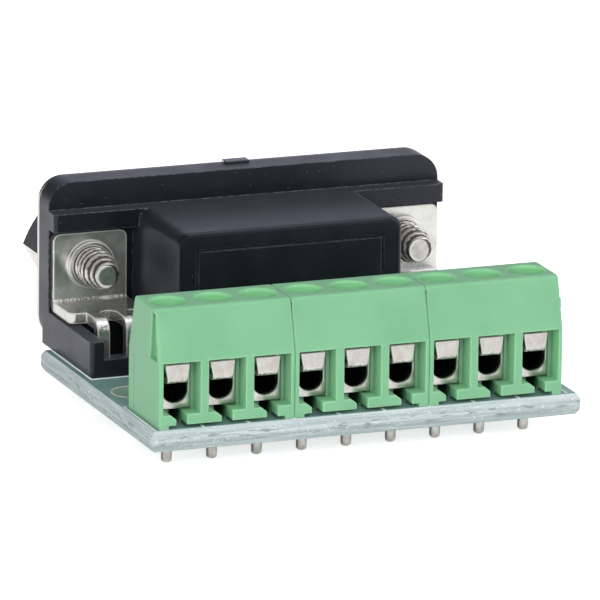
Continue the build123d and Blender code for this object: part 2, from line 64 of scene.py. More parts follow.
# Sizes and places that the frame's boxes don't show
poles = 9
window_half = 1.44 * MM
well_radius = 1.3 * MM
tail_radius = 0.3 * MM
socket_radius = 0.8 * MM
fixing_radius = 1.5 * MM
thread_pitch = 0.635 * MM
nose = 0.32 * MM
hole_from_side = 2.3 * MM + nose
hole_from_front = 10.6 * MM
lock_y = -8.95 * MM

# Places read from the frame
board_low, board_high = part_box("circuit_board")
row_low, row_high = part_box("terminal_housing_1")
row_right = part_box("terminal_housing_3")[1].x
housing_low, housing_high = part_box("connector_housing")
board_top = board_high.z
board_bottom = board_low.z
board_front = board_low.y + nose
pitch = (row_right - row_low.x) / poles
pole_places = [(index - (poles - 1) / 2) * pitch for index in range(poles)]
pin_y = (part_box("clamp_screw_1")[0].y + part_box("clamp_screw_1")[1].y) / 2
block_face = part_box("contact_block_1")[0].y
window_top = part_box("contact_block_1")[1].z + 0.05 * MM
screws = ("jackscrew_left", "jackscrew_right")
screw_places = [(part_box(node)[0].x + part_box(node)[1].x) / 2 for node in screws]
hole_y = board_front + hole_from_front
hole_places = [(board_low.x + hole_from_side, hole_y), (board_high.x - hole_from_side, hole_y)]
lock_places = [(x, lock_y) for x in screw_places]
socket_corners = [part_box(f"socket_contact_{n}")[0] for n in range(1, poles + 1)]
tails = sorted([(corner.x + socket_radius, corner.y + tail_radius) for corner in socket_corners])


def linear(hex_colour):
    """The linear colour of an sRGB hex value."""
    channels = [int(hex_colour[start:start + 2], 16) / 255 for start in (1, 3, 5)]
    curve = [c / 12.92 if c <= 0.04045 else ((c + 0.055) / 1.055) ** 2.4 for c in channels]
    return (*curve, 1.0)


def add(tree, kind, values=None, **settings):
    """One node: settings are its own, and values feed its inputs with numbers or other sockets."""
    node = tree.nodes.new(kind)
    for name, value in settings.items():
        setattr(node, name, value)
    for socket, value in (values or {}).items():
        target = node.inputs[socket]
        if isinstance(value, bpy.types.NodeSocket):
            tree.links.new(value, target)
        else:
            target.default_value = value
    return node


def grain(size_mm):
    """The texture scale that makes one feature as long as size_mm."""
    return 1 / (size_mm * MM)


def new_material(name):
    """An empty node material and its tree."""
    made = bpy.data.materials.new(name)
    made.use_nodes = True
    made.node_tree.nodes.clear()
    return made, made.node_tree


def placed(name, data):
    """A new object in the scene."""
    made = bpy.data.objects.new(name, data)
    bpy.context.collection.objects.link(made)
    return made


def softened(tree, radius_mm):
    """The normal with every sharp edge rounded over radius_mm."""
    return add(tree, "ShaderNodeBevel", {"Radius": radius_mm * MM}, samples=6).outputs["Normal"]


def surface(tree, values, height=None, depth_mm=0.01, edge_mm=0.0):
    """Closes a material: a principled shader, a bump of depth_mm from height, and softened edges."""
    if edge_mm:
        values["Normal"] = softened(tree, edge_mm)
    if height is not None:
        bump = add(tree, "ShaderNodeBump", {"Height": height, "Distance": depth_mm * MM})
        if "Normal" in values:
            tree.links.new(values["Normal"], bump.inputs["Normal"])
        values["Normal"] = bump.outputs["Normal"]
    shader = add(tree, "ShaderNodeBsdfPrincipled", values)
    add(tree, "ShaderNodeOutputMaterial", {"Surface": shader.outputs["BSDF"]})


def noise(tree, place, size_mm, detail=2.0, stretch=None):
    """A noise of features size_mm long; stretch scales the coordinates on each axis first."""
    if stretch:
        place = add(tree, "ShaderNodeMapping", {"Vector": place, "Scale": stretch}).outputs["Vector"]
    made = add(tree, "ShaderNodeTexNoise", {"Vector": place, "Scale": grain(size_mm), "Detail": detail})
    return made.outputs["Fac"]


def ramp(tree, factor, stops):
    """A colour ramp with (place, hex colour) stops."""
    made = add(tree, "ShaderNodeValToRGB", {"Fac": factor})
    points = made.color_ramp.elements
    while len(points) < len(stops):
        points.new(0.5)
    for point, (place, colour) in zip(points, stops):
        point.position = place
        point.color = linear(colour)
    return made.outputs["Color"]


def levels(tree, value, low, high, out_low=0.0, out_high=1.0):
    """A value between low and high taken to out_low and out_high, and held there outside."""
    made = add(
        tree,
        "ShaderNodeMapRange",
        {"Value": value, "From Min": low, "From Max": high, "To Min": out_low, "To Max": out_high},
    )
    return made.outputs["Result"]


def mixed(tree, factor, first, second):
    """Two colours mixed by a factor."""
    made = add(tree, "ShaderNodeMix", {"Factor": factor}, data_type="RGBA")
    for socket, value in ((made.inputs[6], first), (made.inputs[7], second)):
        if isinstance(value, bpy.types.NodeSocket):
            tree.links.new(value, socket)
        else:
            socket.default_value = value
    return made.outputs[2]


def maths(tree, operation, first, second=0.0):
    """One sum on two numbers or sockets."""
    return add(tree, "ShaderNodeMath", {0: first, 1: second}, operation=operation).outputs[0]


def product(tree, first, *others):
    """Several numbers or sockets multiplied together."""
    total = first
    for other in others:
        total = maths(tree, "MULTIPLY", total, other)
    return total


def difference(tree, first, second):
    """One number or socket less another."""
    return maths(tree, "SUBTRACT", first, second)


def size_of(tree, value):
    """A number without its sign."""
    return maths(tree, "ABSOLUTE", value)


def split(tree, vector):
    """The X, Y and Z of a vector socket."""
    return add(tree, "ShaderNodeSeparateXYZ", {"Vector": vector}).outputs


def object_place(tree):
    """Object coordinates, which are the part's own frame in metres."""
    return add(tree, "ShaderNodeTexCoord").outputs["Object"]


def true_normal(tree):
    """The direction that the face itself looks in."""
    return add(tree, "ShaderNodeNewGeometry").outputs["True Normal"]


def edge_nearness(tree, radius_mm):
    """1 on a sharp edge, falling to 0 on the flat at radius_mm from it."""
    normals = {0: softened(tree, radius_mm), 1: true_normal(tree)}
    turn = add(tree, "ShaderNodeVectorMath", normals, operation="DOT_PRODUCT")
    return levels(tree, turn.outputs["Value"], 0.995, 0.9)


def distance(tree, first, second):
    """The length of two sides at right angles."""
    squares = [product(tree, side, side) for side in (first, second)]
    return maths(tree, "SQRT", maths(tree, "ADD", *squares))


def from_pole(tree, across):
    """How far an X coordinate is from the middle of the nearest pole."""
    along = difference(tree, across, row_low.x)
    in_pole = maths(tree, "FLOORED_MODULO", along, pitch)
    return size_of(tree, difference(tree, in_pole, pitch / 2))


def moulded_green_nylon():
    """Glass-free nylon, injection moulded: pale, a little translucent, with a satin skin.

    Its edges are painted paler as a painted highlight, its wells and the front of each window's sides are
    painted lighter as painted light, and the wire windows are painted darker with depth as painted shade.
    """
    made, tree = new_material("moulded_green_nylon")
    place = object_place(tree)
    parts = split(tree, place)
    cloud = noise(tree, place, 4.0, detail=3.0)
    colour = ramp(tree, cloud, [(0.3, "#76B086"), (0.7, "#7FB88F")])
    # painted highlight: the edges are painted paler
    edge = product(tree, edge_nearness(tree, 0.22), 0.6)
    colour = mixed(tree, edge, colour, linear("#9FD6AB"))
    aside = from_pole(tree, parts["X"])
    behind = difference(tree, parts["Y"], pin_y)
    reach = distance(tree, aside, behind)
    # painted light: the walls of the wells on top are painted lighter
    wall = levels(tree, reach, well_radius + 0.15 * MM, well_radius + 0.01 * MM)
    well_light = product(tree, wall, levels(tree, parts["Z"], window_top, window_top + 0.5 * MM))
    colour = mixed(tree, well_light, colour, linear("#8ACB97"))
    in_window = levels(tree, aside, window_half + 0.03 * MM, window_half + 0.01 * MM)
    deep = levels(tree, parts["Y"], row_low.y + 1.1 * MM, row_low.y + 2.2 * MM)
    before_rear = levels(tree, parts["Y"], row_high.y - 0.1 * MM, row_high.y - 0.2 * MM)
    below = levels(tree, parts["Z"], window_top + 0.03 * MM, window_top + 0.01 * MM)
    shade = product(tree, in_window, deep, below, before_rear)
    colour = mixed(tree, shade, colour, linear("#1B4026"))
    # painted light: the front of each window's sides is painted lighter
    shallow = levels(tree, deep, 0.0, 0.4, 0.7, 0.0)
    behind_face = levels(tree, parts["Y"], row_low.y + 0.02 * MM, row_low.y + 0.2 * MM)
    reveal_light = product(tree, in_window, shallow, below, behind_face)
    colour = mixed(tree, reveal_light, colour, linear("#93D3A2"))
    spark = noise(tree, place, 0.09, detail=3.0)
    surface(
        tree,
        {
            "Base Color": colour,
            "Roughness": levels(tree, cloud, 0.3, 0.7, 0.42, 0.5),
            "IOR": 1.53,
            "Subsurface Weight": 0.4,
            "Subsurface Radius": (0.5, 1.0, 0.55),
            "Subsurface Scale": 1.0 * MM,
        },
        height=spark,
        depth_mm=0.004,
        edge_mm=0.2,
    )
    return made


def moulded_black_pbt():
    """Glass-filled polyester, injection moulded: near black, satin, with dust, and pale ragged edges that
    are partly scuffed wear and partly a painted highlight.

    The pale edges are fainter on the rear face.
    """
    made, tree = new_material("moulded_black_pbt")
    place = object_place(tree)
    cloud = noise(tree, place, 3.0, detail=4.0)
    body = ramp(tree, cloud, [(0.35, "#0D1013"), (0.65, "#14171B")])
    # pale ragged edges: partly scuffed wear, partly a painted highlight
    scuff_and_highlight = levels(tree, noise(tree, place, 0.3, detail=4.0), 0.44, 0.58, 0.12, 1.0)
    rear = housing_low.y
    off_rear = levels(tree, split(tree, place)["Y"], rear + 0.1 * MM, rear + 0.3 * MM, 0.4, 1.0)
    edge = product(tree, edge_nearness(tree, 0.12), scuff_and_highlight, off_rear)
    body = mixed(tree, edge, body, linear("#686B72"))
    dust = levels(tree, noise(tree, place, 0.2, detail=2.0), 0.73, 0.77, 0.0, 0.55)
    skin = noise(tree, place, 0.08, detail=2.0)
    surface(
        tree,
        {
            "Base Color": mixed(tree, dust, body, linear("#A3A5AC")),
            "Roughness": levels(tree, cloud, 0.3, 0.7, 0.32, 0.44),
            "IOR": 1.55,
            "Specular Tint": linear("#EBEDFF"),
            "Sheen Weight": 0.12,
            "Sheen Roughness": 0.4,
            "Sheen Tint": linear("#DDDFF2"),
        },
        height=skin,
        depth_mm=0.004,
        edge_mm=0.12,
    )
    return made


def glass_epoxy_board():
    """Glass-epoxy laminate: a snapped edge of layered glass, and a clear blue-green mask on both faces."""
    made, tree = new_material("glass_epoxy_board")
    place = object_place(tree)
    parts = split(tree, place)
    down = levels(tree, parts["Z"], board_top, board_bottom)
    half = (board_top - board_bottom) / 2
    from_core = size_of(tree, difference(tree, parts["Z"], board_bottom + half))
    face = levels(tree, from_core, half - 0.03 * MM, half - 0.015 * MM)
    layers = noise(tree, place, 0.5, detail=4.0, stretch=(0.12, 0.12, 4.0))
    wander = product(tree, difference(tree, layers, 0.5), 0.35)
    plies = [
        (0.0, "#B8C3C4"), (0.3, "#A6B3B5"), (0.5, "#BDC7C9"),
        (0.58, "#7D8B8E"), (0.66, "#9CABAD"), (1.0, "#ACBABB"),
    ]
    band = ramp(tree, maths(tree, "ADD", down, wander), plies)
    fibre = ramp(tree, layers, [(0.35, "#98A6A9"), (0.5, "#B3BEC1"), (0.62, "#D0D9DA")])
    cut = mixed(tree, 0.5, band, fibre)
    frayed = noise(tree, place, 0.14, detail=3.0, stretch=(0.5, 0.5, 1.0))
    cut = mixed(tree, levels(tree, frayed, 0.58, 0.7, 0.0, 0.4), cut, linear("#F4F7F7"))
    dashes = noise(tree, place, 0.4, detail=3.0, stretch=(0.35, 0.35, 1.6))
    dash = levels(tree, dashes, 0.56, 0.64, 0.0, 0.75)
    on_web = levels(tree, from_core, 0.42 * MM, 0.28 * MM)
    cut = mixed(tree, product(tree, dash, on_web), cut, linear("#7E8A8D"))
    from_middle = size_of(tree, difference(tree, parts["X"], (board_low.x + board_high.x) / 2))
    beside_hole = difference(tree, from_middle, (hole_places[1][0] - hole_places[0][0]) / 2)
    from_hole = distance(tree, beside_hole, difference(tree, parts["Y"], hole_y))
    hole_wall = levels(tree, from_hole, fixing_radius + 0.12 * MM, fixing_radius + 0.06 * MM)
    cut = mixed(tree, hole_wall, cut, linear("#9DB8A8"))
    mottle = noise(tree, place, 2.5, detail=4.0)
    mask = ramp(tree, mottle, [(0.3, "#6F928D"), (0.7, "#8BADA7")])
    surface(
        tree,
        {
            "Base Color": mixed(tree, face, cut, mask),
            "Roughness": levels(tree, face, 0.0, 1.0, 0.66, 0.3),
            "IOR": 1.54,
        },
        height=layers,
        depth_mm=0.05,
        edge_mm=0.06,
    )
    return made


def tinned_block():
    """Brass block, tin plated outside: its drilled way is rougher and painted almost black, a painted shade.

    The sides of its pin below the board, facing along X, are darker than the faces.
    """
    made, tree = new_material("tin_plated_block")
    place = object_place(tree)
    parts = split(tree, place)
    marks = noise(tree, place, 0.6, detail=4.0)
    plate = ramp(tree, marks, [(0.35, "#B5AFAA"), (0.65, "#D3CECA")])
    # painted shade: the wire way is painted darker deeper from its face
    deep = levels(tree, parts["Y"], block_face + 0.08 * MM, block_face + 0.5 * MM)
    way_shade = product(tree, deep, levels(tree, parts["Z"], board_top, board_top + 0.2 * MM))
    aside = size_of(tree, split(tree, true_normal(tree))["X"])
    below = levels(tree, parts["Z"], board_bottom, board_bottom - 0.2 * MM)
    darker_sides = product(tree, levels(tree, aside, 0.72, 0.95, 0.0, 0.75), below)
    plate = mixed(tree, darker_sides, plate, linear("#5E5A57"))
    surface(
        tree,
        {
            "Base Color": mixed(tree, way_shade, plate, linear("#303336")),
            "Metallic": 1.0,
            "Roughness": levels(tree, way_shade, 0.0, 1.0, 0.2, 0.7),
        },
        height=noise(tree, place, 0.1, detail=3.0),
        depth_mm=0.004,
        edge_mm=0.06,
    )
    return made


def plated_metal(name, colours, rough, brush_mm, stretch, edge_mm=0.12, back=None):
    """Bright plate over formed or turned metal, with rolling lines and handling marks; its sharp rims and
    the outside of its bends are painted pale and less metallic as a painted highlight.

    Where back is given, it is the Y of a sheet's back: the sheet's upper sheared edge and the tab folded
    behind it are dull.
    """
    made, tree = new_material(name)
    place = object_place(tree)
    lines = noise(tree, place, brush_mm, detail=3.0, stretch=stretch)
    marks = noise(tree, place, 0.9, detail=4.0)
    plate = ramp(tree, marks, [(0.35, colours[0]), (0.65, colours[1])])
    pits = levels(tree, noise(tree, place, 0.16, detail=3.0), 0.3, 0.36, 0.55, 0.0)
    plate = mixed(tree, pits, plate, linear("#7C7972"))
    facing = split(tree, true_normal(tree))
    # painted highlight: sharp rims and the outside of bends are painted pale and less metallic
    bend = size_of(tree, product(tree, facing["Y"], facing["Z"]))
    ragged = levels(tree, noise(tree, place, 0.22, detail=4.0), 0.46, 0.54)
    bend_highlight = product(tree, levels(tree, bend, 0.12, 0.36, 0.0, 0.9), ragged)
    rim_highlight = maths(tree, "MAXIMUM", edge_nearness(tree, 0.2), bend_highlight)
    if back is not None:
        depth = split(tree, place)["Y"]
        upward = levels(tree, facing["Z"], 0.5, 0.8)
        on_edge = product(tree, upward, levels(tree, depth, 0.02 * MM, -0.02 * MM))
        on_tab = levels(tree, depth, back - 0.02 * MM, back - 0.06 * MM)
        dull = maths(tree, "MAXIMUM", on_edge, on_tab)
        plate = mixed(tree, dull, plate, linear("#58595D"))
        rim_highlight = product(tree, rim_highlight, difference(tree, 1.0, dull))
    surface(
        tree,
        {
            "Base Color": mixed(tree, rim_highlight, plate, linear("#F4F2EE")),
            "Metallic": levels(tree, rim_highlight, 0.0, 1.0, 0.86, 0.3),
            "Roughness": levels(tree, marks, 0.35, 0.7, rough[0], rough[1]),
        },
        height=lines,
        depth_mm=0.004,
        edge_mm=edge_mm,
    )
    return made


def threaded_nickel():
    """Nickel plate on a cut thread: bright crests, a painted shade on one flank, and a dull end with a pale
    rim that is a painted highlight.
    """
    near_flank = 0.84  # of a turn of the thread, from the middle of the groove
    made, tree = new_material("nickel_plated_thread")
    place = object_place(tree)
    parts = split(tree, place)
    axis = product(tree, maths(tree, "SIGN", parts["X"]), screw_places[1])
    aside = difference(tree, parts["X"], axis)
    turn = maths(tree, "DIVIDE", maths(tree, "ARCTAN2", parts["Z"], aside), tau)
    along = maths(tree, "DIVIDE", product(tree, parts["Y"], -1.0), thread_pitch)
    phase = maths(tree, "FLOORED_MODULO", difference(tree, along, turn), 1.0)
    jitter = difference(tree, noise(tree, place, 0.3, detail=4.0), 0.5)
    ragged = maths(tree, "ADD", phase, product(tree, jitter, 0.3))
    from_flank = size_of(tree, difference(tree, ragged, near_flank))
    on_end = levels(tree, split(tree, true_normal(tree))["Y"], -0.9, -0.98)
    on_shank = levels(tree, parts["Y"], 0.0, -0.3 * MM)
    # painted shade: one flank of the thread is painted dark
    flank_shade = levels(tree, from_flank, 0.15, 0.09, 0.0, 0.9)
    flank_shade = product(tree, flank_shade, on_shank, difference(tree, 1.0, on_end))
    # painted highlight: a pale, less metallic rim on the end face
    reach = maths(tree, "ADD", distance(tree, aside, parts["Z"]), product(tree, jitter, 0.2 * MM))
    rim_highlight = product(tree, on_end, levels(tree, reach, 0.7 * MM, 0.76 * MM))
    marks = noise(tree, place, 0.5, detail=4.0)
    plate = ramp(tree, marks, [(0.35, "#DAD5CD"), (0.65, "#F2EEE8")])
    scratches = noise(tree, place, 0.3, detail=3.0, stretch=(1.0, 0.4, 0.3))
    plate = mixed(tree, levels(tree, scratches, 0.6, 0.66, 0.0, 0.25), plate, linear("#77736B"))
    plate = mixed(tree, flank_shade, plate, linear("#1B1917"))
    crest = levels(tree, on_shank, 0.0, 1.0, 1.0, 0.62)
    metallic = maths(tree, "MAXIMUM", crest, difference(tree, on_end, rim_highlight))
    metallic = maths(tree, "MINIMUM", metallic, levels(tree, rim_highlight, 0.0, 1.0, 1.0, 0.3))
    surface(
        tree,
        {
            "Base Color": mixed(tree, rim_highlight, plate, linear("#F4F2EE")),
            "Metallic": metallic,
            "Roughness": levels(tree, maths(tree, "MAXIMUM", flank_shade, on_end), 0.0, 0.9, 0.2, 0.42),
        },
        height=noise(tree, place, 0.12, detail=2.0),
        depth_mm=0.004,
    )
    return made


def printed_ink():
    """White epoxy ink, screen printed: thin, matte and a little uneven."""
    made, tree = new_material("printed_ink")
    place = object_place(tree)
    cover = noise(tree, place, 0.25, detail=3.0)
    surface(
        tree,
        {
            "Base Color": ramp(tree, cover, [(0.3, "#D2DCD8"), (0.6, "#EEF2EF")]),
            "Roughness": 0.6,
        },
    )
    return made


def masked_copper():
    """Copper tracks under the same clear mask: a shade lighter and a little raised."""
    made, tree = new_material("masked_copper")
    place = object_place(tree)
    mottle = noise(tree, place, 1.5, detail=3.0)
    surface(
        tree,
        {
            "Base Color": ramp(tree, mottle, [(0.3, "#8FB3A6"), (0.7, "#9CBFB1")]),
            "Roughness": 0.3,
            "IOR": 1.54,
        },
        edge_mm=0.03,
    )
    return made


def bare_land():
    """Bare rims round the holes, tinned by hot air: pale, dull and slightly lumpy."""
    made, tree = new_material("hot_air_tinned_land")
    place = object_place(tree)
    lumps = noise(tree, place, 0.7, detail=2.0)
    surface(
        tree,
        {
            "Base Color": ramp(tree, lumps, [(0.3, "#B4C0B0"), (0.7, "#C8D0C2")]),
            "Metallic": 0.2,
            "Roughness": levels(tree, lumps, 0.3, 0.7, 0.32, 0.45),
        },
        height=lumps,
        depth_mm=0.02,
        edge_mm=0.03,
    )
    return made


def soft_solder():
    """Tin solder, set smooth: bright grey with a faint frost."""
    made, tree = new_material("soft_solder")
    place = object_place(tree)
    frost = noise(tree, place, 0.12, detail=3.0)
    surface(
        tree,
        {
            "Base Color": ramp(tree, frost, [(0.3, "#B5B7B8"), (0.7, "#CACBCB")]),
            "Metallic": 1.0,
            "Roughness": levels(tree, frost, 0.3, 0.7, 0.2, 0.32),
        },
        height=frost,
        depth_mm=0.006,
    )
    return made


green = moulded_green_nylon()
black = moulded_black_pbt()
laminate = glass_epoxy_board()
nickel_sheet = plated_metal(
    "nickel_plated_sheet",
    colours=("#CFCFC8", "#E6E5E0"),
    rough=(0.14, 0.28),
    brush_mm=0.12,
    stretch=(0.3, 1.0, 3.0),
    edge_mm=0.16,
)
nickel_shell = plated_metal(
    "nickel_plated_shell",
    colours=("#DADAD5", "#E6E5E0"),
    rough=(0.15, 0.22),
    brush_mm=0.12,
    stretch=(1.0, 3.0, 0.3),
    edge_mm=0.16,
    back=housing_high.y,
)
nickel_thread = threaded_nickel()
nickel_turned = plated_metal(
    "nickel_plated_turning",
    colours=("#BDB8B0", "#D6D2CB"),
    rough=(0.14, 0.24),
    brush_mm=0.08,
    stretch=(1.0, 4.0, 1.0),
)
tin_plate = plated_metal(
    "tin_plated_brass",
    colours=("#BFB8B3", "#D8D3CF"),
    rough=(0.26, 0.4),
    brush_mm=0.1,
    stretch=(1.0, 1.0, 3.0),
)
tin_block = tinned_block()
gold_flash = plated_metal(
    "gold_flashed_brass",
    colours=("#D9B25A", "#EBCB7C"),
    rough=(0.15, 0.25),
    brush_mm=0.1,
    stretch=(1.0, 1.0, 1.0),
)
ink = printed_ink()
copper = masked_copper()
land = bare_land()
solder = soft_solder()

finish_of_slot = {
    "board_laminate": laminate,
    "green_plastic": green,
    "black_plastic": black,
    "nickel_shell": nickel_shell,
    "nickel_bracket": nickel_sheet,
    "nickel_screw": nickel_turned,
    "tinned_metal": tin_plate,
    "screw_metal": nickel_turned,
    "gold_contact": gold_flash,
}
for part in frame["record"]["subparts"]:
    for slot in frame["nodes"][part["node"]].material_slots:
        is_block = part["node"].startswith("contact_block")
        slot.material = tin_block if is_block else finish_of_slot[part["material_slot"]]


# Geometry trees
def new_tree(name, sizes):
    """An empty geometry tree with its named inputs, and the outputs of its input node."""
    tree = bpy.data.node_groups.new(name, "GeometryNodeTree")
    tree.interface.new_socket("Geometry", in_out="OUTPUT", socket_type="NodeSocketGeometry")
    tree.interface.new_socket("Geometry", in_out="INPUT", socket_type="NodeSocketGeometry")
    for label, kind in sizes.items():
        tree.interface.new_socket(label, in_out="INPUT", socket_type=kind)
    tree.interface.new_socket("Finish", in_out="INPUT", socket_type="NodeSocketMaterial")
    return tree, add(tree, "NodeGroupInput").outputs


def close_tree(tree, shape, finish):
    """Ends a tree in real geometry that carries its material."""
    whole = add(tree, "GeometryNodeRealizeInstances", {"Geometry": shape})
    dressed = add(tree, "GeometryNodeSetMaterial", {"Geometry": whole.outputs[0], "Material": finish})
    add(tree, "NodeGroupOutput", {"Geometry": dressed.outputs[0]})


def turned(tree, parts, radius, height):
    """Where a point of a drum of radius 1 goes, at a new radius and height."""
    place = {"X": product(tree, parts["X"], radius), "Y": product(tree, parts["Y"], radius), "Z": height}
    return add(tree, "ShaderNodeCombineXYZ", place).outputs[0]


def row_of(tree, given, shape):
    """Count copies of a shape, from Start on and Step apart."""
    line = add(
        tree,
        "GeometryNodeMeshLine",
        {"Count": given["Count"], "Start Location": given["Start"], "Offset": given["Step"]},
    )
    row = add(tree, "GeometryNodeInstanceOnPoints", {"Points": line.outputs[0], "Instance": shape})
    return row.outputs[0]


def flat_strip_tree():
    """A flat strip laid along the lines that it is given."""
    tree, given = new_tree("flat_strip", {"Width": "NodeSocketFloat", "Thickness": "NodeSocketFloat"})
    path = add(tree, "GeometryNodeMeshToCurve", {"Mesh": given["Geometry"]})
    level = add(tree, "GeometryNodeSetCurveNormal", {"Curve": path.outputs[0]}, mode="Z_UP")
    section = add(
        tree,
        "GeometryNodeCurvePrimitiveQuadrilateral",
        {"Width": given["Width"], "Height": given["Thickness"]},
    )
    strip = add(
        tree,
        "GeometryNodeCurveToMesh",
        {"Curve": level.outputs[0], "Profile Curve": section.outputs[0], "Fill Caps": True},
    )
    close_tree(tree, strip.outputs[0], given["Finish"])
    return tree


def ring_row_tree():
    """Flat rings in a row: the bare rims round the holes."""
    sizes = {
        "Count": "NodeSocketInt",
        "Start": "NodeSocketVector",
        "Step": "NodeSocketVector",
        "Inner Radius": "NodeSocketFloat",
        "Outer Radius": "NodeSocketFloat",
        "Thickness": "NodeSocketFloat",
    }
    tree, given = new_tree("ring_row", sizes)
    width = difference(tree, given["Outer Radius"], given["Inner Radius"])
    middle = product(tree, maths(tree, "ADD", given["Inner Radius"], given["Outer Radius"]), 0.5)
    circle = add(tree, "GeometryNodeCurvePrimitiveCircle", {"Resolution": 40, "Radius": middle})
    level = add(tree, "GeometryNodeSetCurveNormal", {"Curve": circle.outputs[0]}, mode="Z_UP")
    section = add(
        tree,
        "GeometryNodeCurvePrimitiveQuadrilateral",
        {"Width": width, "Height": given["Thickness"]},
    )
    ring = add(
        tree,
        "GeometryNodeCurveToMesh",
        {"Curve": level.outputs[0], "Profile Curve": section.outputs[0]},
    )
    close_tree(tree, row_of(tree, given, ring.outputs[0]), given["Finish"])
    return tree


def solder_row_tree():
    """Solder cones in a row, hanging below the board: wide at the land and drawn in to the pin."""
    sizes = {
        "Count": "NodeSocketInt",
        "Start": "NodeSocketVector",
        "Step": "NodeSocketVector",
        "Land Radius": "NodeSocketFloat",
        "Pin Radius": "NodeSocketFloat",
        "Height": "NodeSocketFloat",
    }
    tree, given = new_tree("solder_row", sizes)
    drum = add(
        tree,
        "GeometryNodeMeshCylinder",
        {"Vertices": 28, "Side Segments": 10, "Radius": 1.0, "Depth": given["Height"]},
        fill_type="TRIANGLE_FAN",
    )
    place = add(tree, "GeometryNodeInputPosition")
    parts = split(tree, place.outputs[0])
    up = maths(tree, "ADD", maths(tree, "DIVIDE", parts["Z"], given["Height"]), 0.5)
    sweep = maths(tree, "POWER", up, 2.6)
    flare = difference(tree, given["Land Radius"], given["Pin Radius"])
    radius = maths(tree, "ADD", given["Pin Radius"], product(tree, sweep, flare))
    sunk = difference(tree, parts["Z"], product(tree, given["Height"], 0.5))
    drawn = turned(tree, parts, radius, sunk)
    cone = add(tree, "GeometryNodeSetPosition", {"Geometry": drum.outputs["Mesh"], "Position": drawn})
    smooth = add(tree, "GeometryNodeSetShadeSmooth", {"Geometry": cone.outputs[0]})
    close_tree(tree, row_of(tree, given, smooth.outputs[0]), given["Finish"])
    return tree


def screw_thread_tree():
    """A threaded rod from z = 0 up: its radius follows a helix, and is drawn in to End Radius at the top."""
    sizes = {
        "Root Radius": "NodeSocketFloat",
        "Crest Radius": "NodeSocketFloat",
        "Pitch": "NodeSocketFloat",
        "Length": "NodeSocketFloat",
        "End Radius": "NodeSocketFloat",
        "End Slope": "NodeSocketFloat",
        "Raggedness": "NodeSocketFloat",
        "Rings": "NodeSocketInt",
    }
    tree, given = new_tree("screw_thread", sizes)
    rod = add(
        tree,
        "GeometryNodeMeshCylinder",
        {"Vertices": 56, "Side Segments": given["Rings"], "Radius": 1.0, "Depth": given["Length"]},
    )
    place = add(tree, "GeometryNodeInputPosition")
    parts = split(tree, place.outputs[0])
    along = maths(tree, "ADD", parts["Z"], product(tree, given["Length"], 0.5))
    turn = maths(tree, "DIVIDE", maths(tree, "ARCTAN2", parts["Y"], parts["X"]), tau)
    phase = difference(tree, maths(tree, "DIVIDE", along, given["Pitch"]), turn)
    wave = maths(tree, "PINGPONG", phase, 0.5)
    flank = levels(tree, wave, 0.06, 0.32, given["Root Radius"], given["Crest Radius"])
    left = difference(tree, given["Length"], along)
    cone = maths(tree, "ADD", product(tree, left, given["End Slope"]), given["End Radius"])
    even = {0: place.outputs[0], 1: (1.0, 1.0, grain(1.0))}
    lumps = add(tree, "ShaderNodeVectorMath", even, operation="MULTIPLY")
    rough = add(tree, "ShaderNodeTexNoise", {"Vector": lumps.outputs[0], "Scale": 3.0, "Detail": 3.0})
    torn = product(tree, difference(tree, rough.outputs["Fac"], 0.5), given["Raggedness"])
    taper = maths(tree, "MINIMUM", given["Crest Radius"], cone)
    cut = difference(tree, given["Crest Radius"], flank)
    radius = maths(tree, "ADD", difference(tree, taper, cut), torn)
    wound = turned(tree, parts, radius, along)
    screw = add(tree, "GeometryNodeSetPosition", {"Geometry": rod.outputs["Mesh"], "Position": wound})
    close_tree(tree, screw.outputs[0], given["Finish"])
    return tree


def grow(name, tree, values, lines=None):
    """The plain mesh object that a tree makes with these inputs, on the polylines in lines if given."""
    seed_mesh = bpy.data.meshes.new(name + "_seed")
    points = []
    edges = []
    for line in lines or []:
        start = len(points)
        points += line
        edges += [(step, step + 1) for step in range(start, len(points) - 1)]
    seed_mesh.from_pydata(points, edges, [])
    seed = placed(name + "_seed", seed_mesh)
    modifier = seed.modifiers.new("grow", "NODES")
    modifier.node_group = tree
    for item in tree.interface.items_tree:
        if item.in_out == "INPUT" and item.name in values:
            modifier[item.identifier] = values[item.name]
    graph = bpy.context.evaluated_depsgraph_get()
    mesh = bpy.data.meshes.new_from_object(seed.evaluated_get(graph))
    seed.modifiers.remove(modifier)
    bpy.data.objects.remove(seed)
    return placed(name, mesh)


def settle(piece, body="base"):
    """Gives a finished piece its body."""
    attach(piece, body)


# Board dressing: printed lines, tracks, lands and solder
line_width = 0.2 * MM
ink_film = 0.03 * MM
track_width = 0.5 * MM
track_film = 0.05 * MM
land_film = 0.04 * MM


def printed_lines(strip):
    """The outlines printed round the connector and the terminal row, with a tick between the poles."""
    height = board_top + ink_film / 2
    side = 0.25 * MM
    beside = 0.05 * MM
    tick = 0.6 * MM
    half = line_width / 2
    outlines = [
        (housing_low.x - beside, housing_high.x + beside, board_high.y - nose, housing_low.y - half),
        (row_low.x - side, row_right + side, board_front + half, row_high.y + side),
    ]
    lines = []
    for left, right, open_y, closed_y in outlines:
        corners = [(left, open_y), (left, closed_y), (right, closed_y), (right, open_y)]
        lines.append([(*corner, height) for corner in corners])
    for x in pole_places[:-1]:
        middle = x + pitch / 2
        lines.append([(middle, board_front, height), (middle, board_front + tick, height)])
    values = {"Width": line_width, "Thickness": ink_film, "Finish": ink}
    settle(grow("printed_lines", strip, values, lines))


